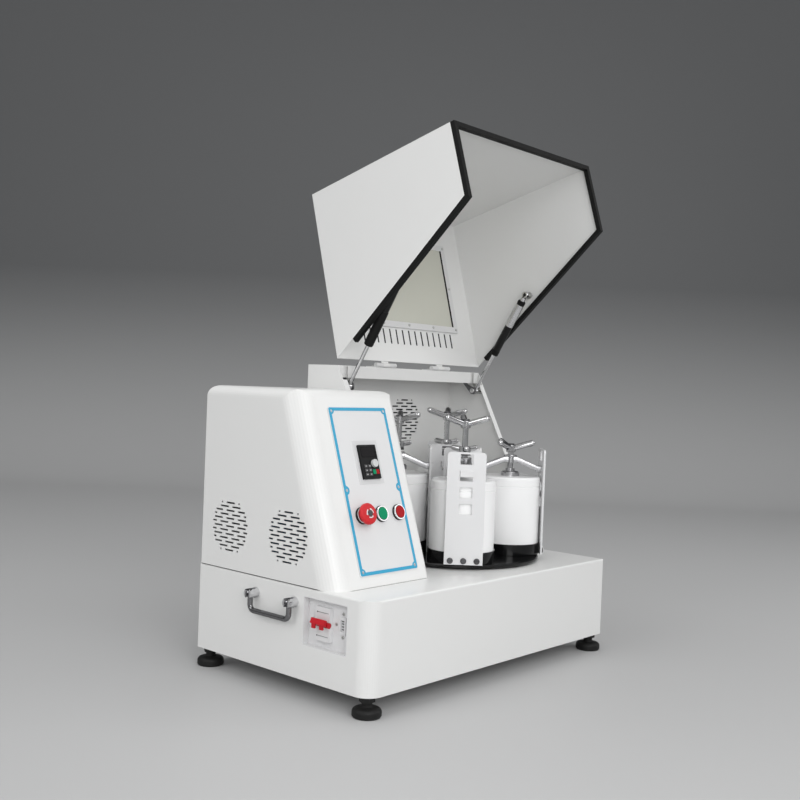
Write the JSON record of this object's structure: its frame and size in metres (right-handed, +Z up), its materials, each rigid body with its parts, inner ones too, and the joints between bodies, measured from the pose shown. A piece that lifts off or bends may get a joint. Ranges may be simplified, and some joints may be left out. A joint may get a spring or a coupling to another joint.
{
  "type": "planetary ball mill",
  "caption": "Bench-height planetary ball mill: sloped control console, milling chamber with lift-up windowed hood on gas struts, and a turntable of clamped grinding jars.",
  "frame": {"origin": "centre of the footprint at floor level, under the levelling feet", "axes": "+X to the right along the front, +Y to the back, +Z up; the front faces -Y"},
  "size_m": [0.794, 0.4818, 1.0794],
  "materials": {
    "cabinet_white": "semi-gloss powder coat",
    "sheet_grey": "semi-gloss powder coat",
    "foot_rubber": "matte",
    "handle_chrome": "polished",
    "breaker_grey": "satin",
    "breaker_red": "gloss",
    "panel_white": "satin",
    "panel_blue": "satin",
    "keypad_black": "satin",
    "knob_grey": "satin",
    "button_metal": "polished",
    "stop_red": "satin",
    "cap_green": "gloss",
    "cap_red": "gloss",
    "zinc_steel": "zinc plated",
    "motor_blue": "semi-gloss",
    "belt_rubber": "matte",
    "machined_steel": "machined",
    "black_paint": "gloss",
    "jar_white": "satin",
    "clamp_grey": "satin",
    "seal_rubber": "matte",
    "window_clear": "clear sheet",
    "strut_black": "satin",
    "rod_chrome": "polished"
  },
  "bodies": {
    "base": {"base_shell": "cabinet_white", "base_floor": "sheet_grey", "levelling_feet": "foot_rubber", "handle_posts": "handle_chrome", "breaker_tray": "breaker_grey", "console_shell": "cabinet_white", "front_panel": "panel_white", "panel_border": "panel_blue", "drive_keypad": "keypad_black", "button_bodies": "button_metal", "chamber_rear": "cabinet_white", "chamber_sides": "cabinet_white", "chamber_rail": "cabinet_white", "hinge_leaves": "sheet_grey", "strut_brackets": "zinc_steel", "motor": "motor_blue", "drive_belt": "belt_rubber", "bearing_bridge": "machined_steel"},
    "bail_left": {"bail_left": "handle_chrome"},
    "bail_right": {"bail_right": "handle_chrome"},
    "breaker_toggle": {"breaker_toggle": "breaker_red"},
    "keypad_knob": {"keypad_knob": "knob_grey"},
    "estop": {"estop_head": "stop_red"},
    "green_button": {"green_button": "cap_green"},
    "red_button": {"red_button": "cap_red"},
    "motor_pulley": {"motor_pulley": "machined_steel"},
    "turntable": {"turntable": "black_paint", "main_shaft": "machined_steel"},
    "hood": {"hood_top": "cabinet_white", "hood_skirt": "cabinet_white", "hood_seal": "seal_rubber", "window_pane": "window_clear", "window_frame": "sheet_grey"},
    "strut_tube_left": {"strut_tube_left": "strut_black"},
    "strut_rod_left": {"strut_rod_left": "rod_chrome"},
    "strut_tube_right": {"strut_tube_right": "strut_black"},
    "strut_rod_right": {"strut_rod_right": "rod_chrome"},
    "planet_front": {"holder_front": "black_paint", "jar_front": "jar_white", "clamp_front": "clamp_grey"},
    "pad_front": {"pad_front": "machined_steel"},
    "screw_front": {"screw_front": "rod_chrome"},
    "nut_front": {"nut_front": "rod_chrome"},
    "planet_right": {"holder_right": "black_paint", "jar_right": "jar_white", "clamp_right": "clamp_grey"},
    "pad_right": {"pad_right": "machined_steel"},
    "screw_right": {"screw_right": "rod_chrome"},
    "planet_rear": {"holder_rear": "black_paint", "jar_rear": "jar_white", "clamp_rear": "clamp_grey"},
    "pad_rear": {"pad_rear": "machined_steel"},
    "screw_rear": {"screw_rear": "rod_chrome"},
    "nut_rear": {"nut_rear": "rod_chrome"},
    "planet_left": {"holder_left": "black_paint", "jar_left": "jar_white", "clamp_left": "clamp_grey"},
    "pad_left": {"pad_left": "machined_steel"},
    "screw_left": {"screw_left": "rod_chrome"},
    "nut_left": {"nut_left": "rod_chrome"}
  },
  "joints": [
    {"name": "bail_left_swing", "type": "hinge", "parent": "base", "child": "bail_left", "pos_m": [-0.389, 0.0075, 0.171], "axis": [0, 1, 0], "range_deg": [0, 90]},
    {"name": "bail_right_swing", "type": "hinge", "parent": "base", "child": "bail_right", "pos_m": [0.389, 0.0075, 0.171], "axis": [0, -1, 0], "range_deg": [0, 90]},
    {"name": "breaker_throw", "type": "hinge", "parent": "base", "child": "breaker_toggle", "pos_m": [-0.37, -0.1135, 0.142], "axis": [0, 1, 0], "range_deg": [-50, 0]},
    {"name": "keypad_knob_turn", "type": "hinge", "parent": "base", "child": "keypad_knob", "pos_m": [-0.2182, -0.0798, 0.41877], "axis": [0, -0.9466, 0.3223], "range_deg": [-150, 150]},
    {"name": "estop_press", "type": "slide", "parent": "base", "child": "estop", "axis": [0, 0.9466, -0.3223], "range_m": [0, 0.005]},
    {"name": "green_press", "type": "slide", "parent": "base", "child": "green_button", "axis": [0, 0.9466, -0.3223], "range_m": [0, 0.003], "stiffness_N_per_m": 400, "springref_m": -0.001},
    {"name": "red_press", "type": "slide", "parent": "base", "child": "red_button", "axis": [0, 0.9466, -0.3223], "range_m": [0, 0.003], "stiffness_N_per_m": 400, "springref_m": -0.001},
    {"name": "turntable_spin", "type": "hinge", "parent": "base", "child": "turntable", "pos_m": [0.13, 0.004, 0.208], "axis": [0, 0, 1], "continuous": true},
    {"name": "motor_spin", "type": "hinge", "parent": "base", "child": "motor_pulley", "pos_m": [-0.246, 0.105, 0.115], "axis": [0, 0, 1], "continuous": true},
    {"name": "hood_swing", "type": "hinge", "parent": "base", "child": "hood", "pos_m": [0.13, 0.134, 0.6112], "axis": [1, 0, 0], "range_deg": [0, 106.4]},
    {"name": "strut_tube_left_turn", "type": "hinge", "parent": "hood", "child": "strut_tube_left", "pos_m": [-0.0875, -0.01391, 0.79059], "axis": [1, 0, 0], "range_deg": [0, 3]},
    {"name": "strut_rod_left_slide", "type": "slide", "parent": "strut_tube_left", "child": "strut_rod_left", "axis": [0, -0.5169, 0.856], "range_m": [0, 0.08]},
    {"name": "strut_tube_right_turn", "type": "hinge", "parent": "hood", "child": "strut_tube_right", "pos_m": [0.3475, -0.01391, 0.79059], "axis": [1, 0, 0], "range_deg": [0, 3]},
    {"name": "strut_rod_right_slide", "type": "slide", "parent": "strut_tube_right", "child": "strut_rod_right", "axis": [0, -0.5169, 0.856], "range_m": [0, 0.08]},
    {"name": "planet_front_spin", "type": "hinge", "parent": "turntable", "child": "planet_front", "pos_m": [0.04668, -0.08918, 0.22], "axis": [0, 0, 1], "continuous": true},
    {"name": "pad_front_slide", "type": "slide", "parent": "planet_front", "child": "pad_front", "axis": [0, 0, 1], "range_m": [-0.008, 0.004]},
    {"name": "screw_front_turn", "type": "hinge", "parent": "pad_front", "child": "screw_front", "pos_m": [0.04668, -0.08918, 0.44], "axis": [0, 0, 1], "range_deg": [-961, 481]},
    {"name": "nut_front_turn", "type": "hinge", "parent": "planet_front", "child": "nut_front", "pos_m": [0.04668, -0.08918, 0.44], "axis": [0, 0, 1], "range_deg": [-360, 360]},
    {"name": "planet_right_spin", "type": "hinge", "parent": "turntable", "child": "planet_right", "pos_m": [0.22318, -0.07932, 0.22], "axis": [0, 0, 1], "continuous": true},
    {"name": "pad_right_slide", "type": "slide", "parent": "planet_right", "child": "pad_right", "axis": [0, 0, 1], "range_m": [0, 0.012]},
    {"name": "screw_right_turn", "type": "hinge", "parent": "pad_right", "child": "screw_right", "pos_m": [0.22318, -0.07932, 0.44], "axis": [0, 0, 1], "range_deg": [0, 1441]},
    {"name": "planet_rear_spin", "type": "hinge", "parent": "turntable", "child": "planet_rear", "pos_m": [0.21332, 0.09718, 0.22], "axis": [0, 0, 1], "continuous": true},
    {"name": "pad_rear_slide", "type": "slide", "parent": "planet_rear", "child": "pad_rear", "axis": [0, 0, 1], "range_m": [-0.008, 0.004]},
    {"name": "screw_rear_turn", "type": "hinge", "parent": "pad_rear", "child": "screw_rear", "pos_m": [0.21332, 0.09718, 0.44], "axis": [0, 0, 1], "range_deg": [-961, 481]},
    {"name": "nut_rear_turn", "type": "hinge", "parent": "planet_rear", "child": "nut_rear", "pos_m": [0.21332, 0.09718, 0.44], "axis": [0, 0, 1], "range_deg": [-360, 360]},
    {"name": "planet_left_spin", "type": "hinge", "parent": "turntable", "child": "planet_left", "pos_m": [0.03682, 0.08732, 0.22], "axis": [0, 0, 1], "continuous": true},
    {"name": "pad_left_slide", "type": "slide", "parent": "planet_left", "child": "pad_left", "axis": [0, 0, 1], "range_m": [-0.008, 0.004]},
    {"name": "screw_left_turn", "type": "hinge", "parent": "pad_left", "child": "screw_left", "pos_m": [0.03682, 0.08732, 0.44], "axis": [0, 0, 1], "range_deg": [-961, 481]},
    {"name": "nut_left_turn", "type": "hinge", "parent": "planet_left", "child": "nut_left", "pos_m": [0.03682, 0.08732, 0.44], "axis": [0, 0, 1], "range_deg": [-360, 360]}
  ],
  "couplings": [
    {"joint": "motor_spin", "follows": "turntable_spin", "ratio": 2.2222},
    {"joint": "strut_tube_left_turn", "follows": "hood_swing", "ratio": 0.023514},
    {"joint": "strut_rod_left_slide", "follows": "hood_swing", "m_per_rad": 0.042806},
    {"joint": "strut_tube_right_turn", "follows": "hood_swing", "ratio": 0.023514},
    {"joint": "strut_rod_right_slide", "follows": "hood_swing", "m_per_rad": 0.042806},
    {"joint": "planet_front_spin", "follows": "turntable_spin", "ratio": 1},
    {"joint": "screw_front_turn", "follows": "pad_front_slide", "rad_per_m": 2094.4},
    {"joint": "planet_right_spin", "follows": "turntable_spin", "ratio": 1},
    {"joint": "screw_right_turn", "follows": "pad_right_slide", "rad_per_m": 2094.4},
    {"joint": "planet_rear_spin", "follows": "turntable_spin", "ratio": 1},
    {"joint": "screw_rear_turn", "follows": "pad_rear_slide", "rad_per_m": 2094.4},
    {"joint": "planet_left_spin", "follows": "turntable_spin", "ratio": 1},
    {"joint": "screw_left_turn", "follows": "pad_left_slide", "rad_per_m": 2094.4}
  ]
}
